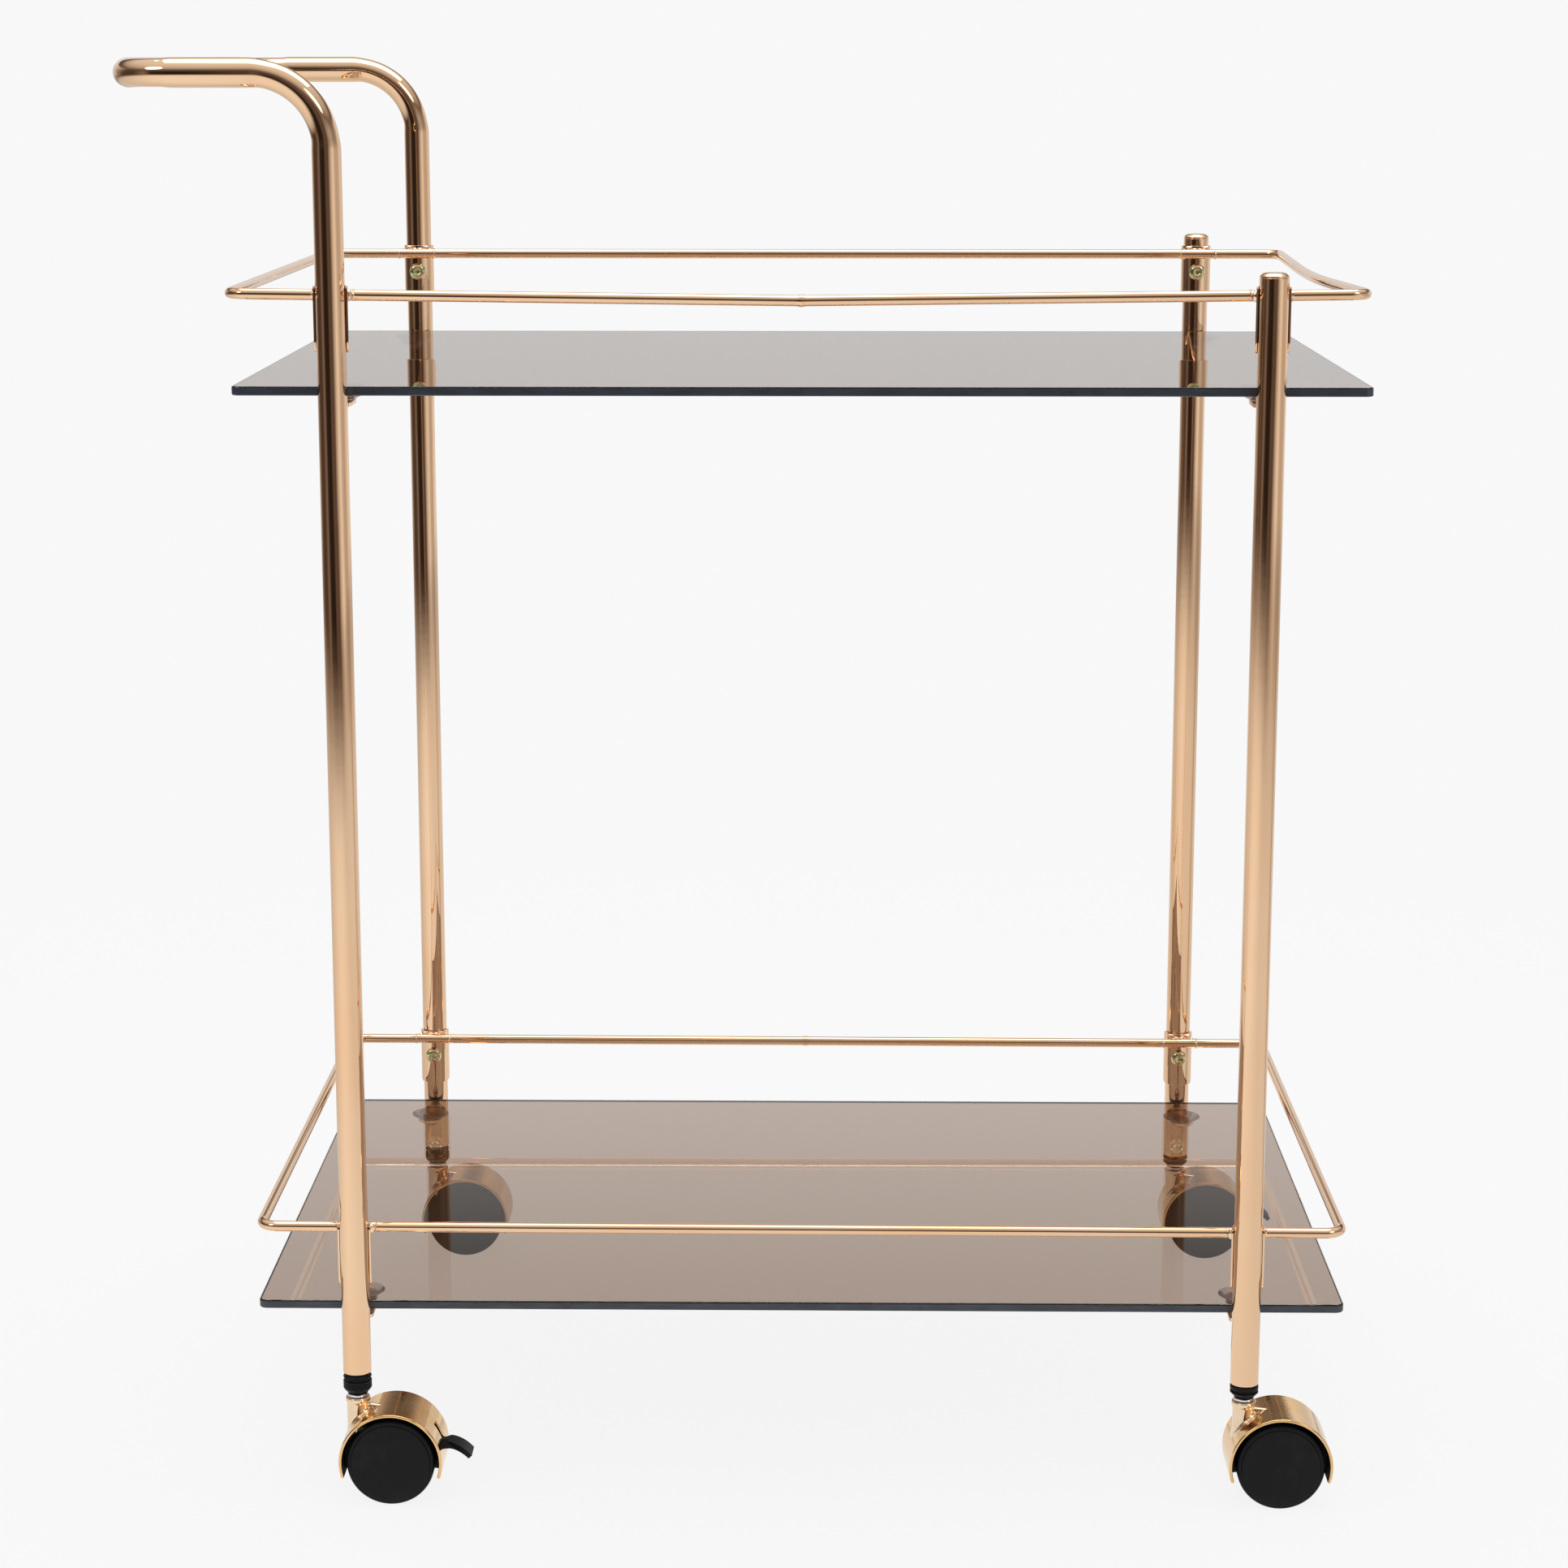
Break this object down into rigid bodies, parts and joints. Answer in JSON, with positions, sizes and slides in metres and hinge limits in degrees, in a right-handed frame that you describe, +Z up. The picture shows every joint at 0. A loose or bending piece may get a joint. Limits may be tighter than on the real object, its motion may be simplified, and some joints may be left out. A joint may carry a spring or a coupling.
{
  "type": "bar cart on wheels",
  "caption": "Two-tier serving cart with smoked glass shelves, a rose-gold tube frame with a push handle, guard rails and swivel casters.",
  "frame": {"origin": "middle of the cart's box at floor level", "axes": "+Z up, -X towards the push handle, Y across the cart"},
  "size_m": [0.6894, 0.458, 0.809],
  "materials": {
    "rose_plating": "polished rose-gold plating",
    "smoked_glass": "smoked, polished edges",
    "clear_vinyl": "clear soft vinyl",
    "yellow_zinc": "yellow zinc plating",
    "bright_steel": "bright zinc",
    "black_nylon": "moulded, satin"
  },
  "bodies": {
    "cart": {"left_frame": "rose_plating", "right_post_front": "rose_plating", "right_post_rear": "rose_plating", "post_cap_front": "rose_plating", "post_cap_rear": "rose_plating", "upper_shelf": "smoked_glass", "lower_shelf": "smoked_glass", "upper_rail": "rose_plating", "lower_rail": "rose_plating", "upper_cup_front_left": "clear_vinyl", "upper_cup_front_right": "clear_vinyl", "upper_cup_rear_left": "clear_vinyl", "upper_cup_rear_right": "clear_vinyl", "lower_cup_front_left": "clear_vinyl", "lower_cup_front_right": "clear_vinyl", "lower_cup_rear_left": "clear_vinyl", "lower_cup_rear_right": "clear_vinyl", "upper_screw_front_left": "yellow_zinc", "upper_screw_front_right": "yellow_zinc", "upper_screw_rear_left": "yellow_zinc", "upper_screw_rear_right": "yellow_zinc", "lower_screw_front_left": "yellow_zinc", "lower_screw_front_right": "yellow_zinc", "lower_screw_rear_left": "yellow_zinc", "lower_screw_rear_right": "yellow_zinc", "socket_plug_front_left": "black_nylon", "caster_stem_front_left": "bright_steel", "grip_ring_front_left": "bright_steel", "socket_plug_front_right": "black_nylon", "caster_stem_front_right": "bright_steel", "grip_ring_front_right": "bright_steel", "socket_plug_rear_left": "black_nylon", "caster_stem_rear_left": "bright_steel", "grip_ring_rear_left": "bright_steel", "socket_plug_rear_right": "black_nylon", "caster_stem_rear_right": "bright_steel", "grip_ring_rear_right": "bright_steel"},
    "front_left_caster": {"caster_body_front_left": "rose_plating", "axle_front_left": "bright_steel", "brake_pin_front_left": "bright_steel"},
    "front_left_outer_wheel": {"wheel_front_left_outer": "black_nylon"},
    "front_left_inner_wheel": {"wheel_front_left_inner": "black_nylon"},
    "front_left_brake": {"brake_lever_front_left": "black_nylon"},
    "front_right_caster": {"caster_body_front_right": "rose_plating", "axle_front_right": "bright_steel"},
    "front_right_outer_wheel": {"wheel_front_right_outer": "black_nylon"},
    "front_right_inner_wheel": {"wheel_front_right_inner": "black_nylon"},
    "rear_left_caster": {"caster_body_rear_left": "rose_plating", "axle_rear_left": "bright_steel"},
    "rear_left_outer_wheel": {"wheel_rear_left_outer": "black_nylon"},
    "rear_left_inner_wheel": {"wheel_rear_left_inner": "black_nylon"},
    "rear_right_caster": {"caster_body_rear_right": "rose_plating", "axle_rear_right": "bright_steel", "brake_pin_rear_right": "bright_steel"},
    "rear_right_outer_wheel": {"wheel_rear_right_outer": "black_nylon"},
    "rear_right_inner_wheel": {"wheel_rear_right_inner": "black_nylon"},
    "rear_right_brake": {"brake_lever_rear_right": "black_nylon"}
  },
  "joints": [
    {"name": "front_left_swivel", "type": "hinge", "parent": "cart", "child": "front_left_caster", "pos_m": [-0.22665, -0.2095, 0.059], "axis": [0, 0, 1], "continuous": true},
    {"name": "front_left_outer_wheel_spin", "type": "hinge", "parent": "front_left_caster", "child": "front_left_outer_wheel", "pos_m": [-0.20665, -0.2095, 0.025], "axis": [0, 1, 0], "continuous": true},
    {"name": "front_left_inner_wheel_spin", "type": "hinge", "parent": "front_left_caster", "child": "front_left_inner_wheel", "pos_m": [-0.20665, -0.2095, 0.025], "axis": [0, 1, 0], "continuous": true},
    {"name": "front_left_brake_lift", "type": "hinge", "parent": "front_left_caster", "child": "front_left_brake", "pos_m": [-0.19465, -0.2095, 0.03], "axis": [0, -1, 0], "range_deg": [0, 22]},
    {"name": "front_right_swivel", "type": "hinge", "parent": "cart", "child": "front_right_caster", "pos_m": [0.27935, -0.2095, 0.059], "axis": [0, 0, 1], "continuous": true},
    {"name": "front_right_outer_wheel_spin", "type": "hinge", "parent": "front_right_caster", "child": "front_right_outer_wheel", "pos_m": [0.29935, -0.2095, 0.025], "axis": [0, 1, 0], "continuous": true},
    {"name": "front_right_inner_wheel_spin", "type": "hinge", "parent": "front_right_caster", "child": "front_right_inner_wheel", "pos_m": [0.29935, -0.2095, 0.025], "axis": [0, 1, 0], "continuous": true},
    {"name": "rear_left_swivel", "type": "hinge", "parent": "cart", "child": "rear_left_caster", "pos_m": [-0.22665, 0.2095, 0.059], "axis": [0, 0, 1], "continuous": true},
    {"name": "rear_left_outer_wheel_spin", "type": "hinge", "parent": "rear_left_caster", "child": "rear_left_outer_wheel", "pos_m": [-0.20665, 0.2095, 0.025], "axis": [0, 1, 0], "continuous": true},
    {"name": "rear_left_inner_wheel_spin", "type": "hinge", "parent": "rear_left_caster", "child": "rear_left_inner_wheel", "pos_m": [-0.20665, 0.2095, 0.025], "axis": [0, 1, 0], "continuous": true},
    {"name": "rear_right_swivel", "type": "hinge", "parent": "cart", "child": "rear_right_caster", "pos_m": [0.27935, 0.2095, 0.059], "axis": [0, 0, 1], "continuous": true},
    {"name": "rear_right_outer_wheel_spin", "type": "hinge", "parent": "rear_right_caster", "child": "rear_right_outer_wheel", "pos_m": [0.29935, 0.2095, 0.025], "axis": [0, 1, 0], "continuous": true},
    {"name": "rear_right_inner_wheel_spin", "type": "hinge", "parent": "rear_right_caster", "child": "rear_right_inner_wheel", "pos_m": [0.29935, 0.2095, 0.025], "axis": [0, 1, 0], "continuous": true},
    {"name": "rear_right_brake_lift", "type": "hinge", "parent": "rear_right_caster", "child": "rear_right_brake", "pos_m": [0.31135, 0.2095, 0.03], "axis": [0, -1, 0], "range_deg": [0, 22]}
  ]
}
